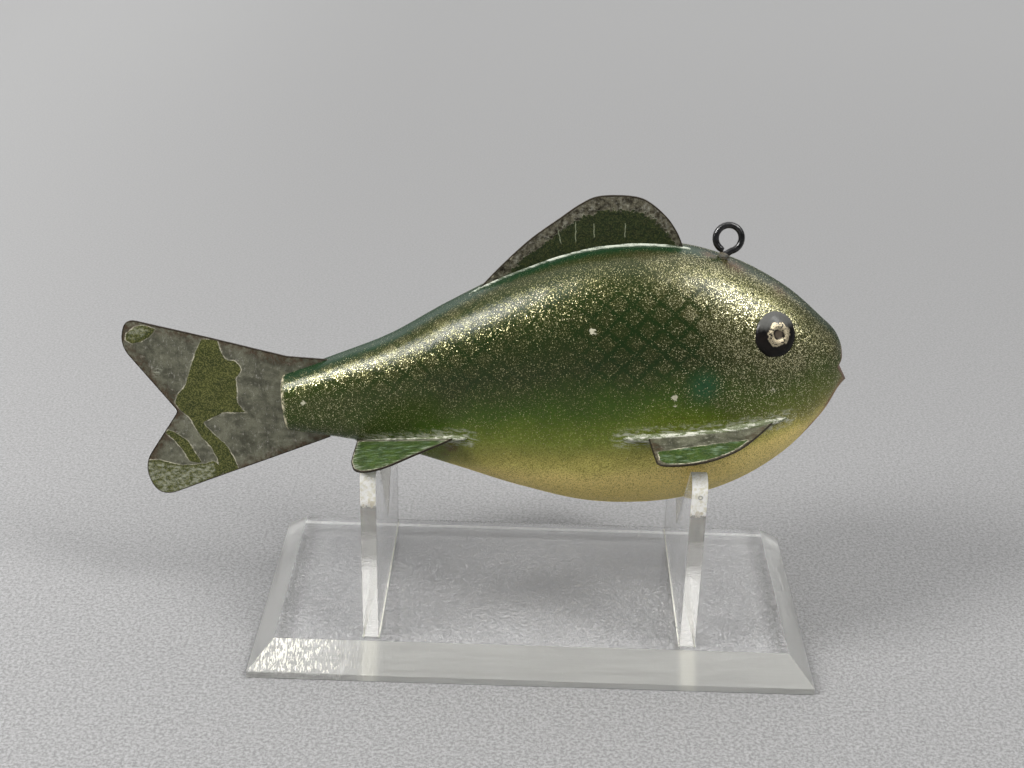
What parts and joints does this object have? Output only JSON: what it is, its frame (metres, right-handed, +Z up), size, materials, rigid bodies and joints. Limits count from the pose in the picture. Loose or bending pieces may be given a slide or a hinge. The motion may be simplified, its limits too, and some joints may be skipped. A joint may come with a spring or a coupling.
{
  "type": "fish decoy",
  "caption": "Carved and painted wooden fish decoy with sheet-metal fins, tack eyes and a screw eye, resting on a clear acrylic display stand.",
  "frame": {"origin": "centre of the stand foot's underside", "axes": "+X towards the fish's head, along the stand's long side; +Y towards the fish's left side; +Z up"},
  "size_m": [0.1806, 0.0722, 0.1165],
  "materials": {
    "painted_wood": "glossy green metallic paint with gold flake over a tan belly, lightly worn",
    "painted_sheet": "green paint worn to bare metal along the edges",
    "bare_sheet": "dull grey zinc sheet with patches of flaked green paint",
    "tack": "black gloss paint worn to brass at the crown",
    "wire": "darkened steel wire",
    "acrylic": "clear polished acrylic with frosted saw-cut edges"
  },
  "bodies": {
    "root": {"body": "painted_wood", "tail_fin": "bare_sheet", "dorsal_fin": "painted_sheet", "pectoral_fin_right": "painted_sheet", "pectoral_fin_left": "painted_sheet", "rear_fin_right": "painted_sheet", "rear_fin_left": "painted_sheet", "eye_right": "tack", "eye_left": "tack", "screw_eye": "wire", "stand_foot": "acrylic", "upright_head": "acrylic", "upright_tail": "acrylic"}
  },
  "joints": []
}
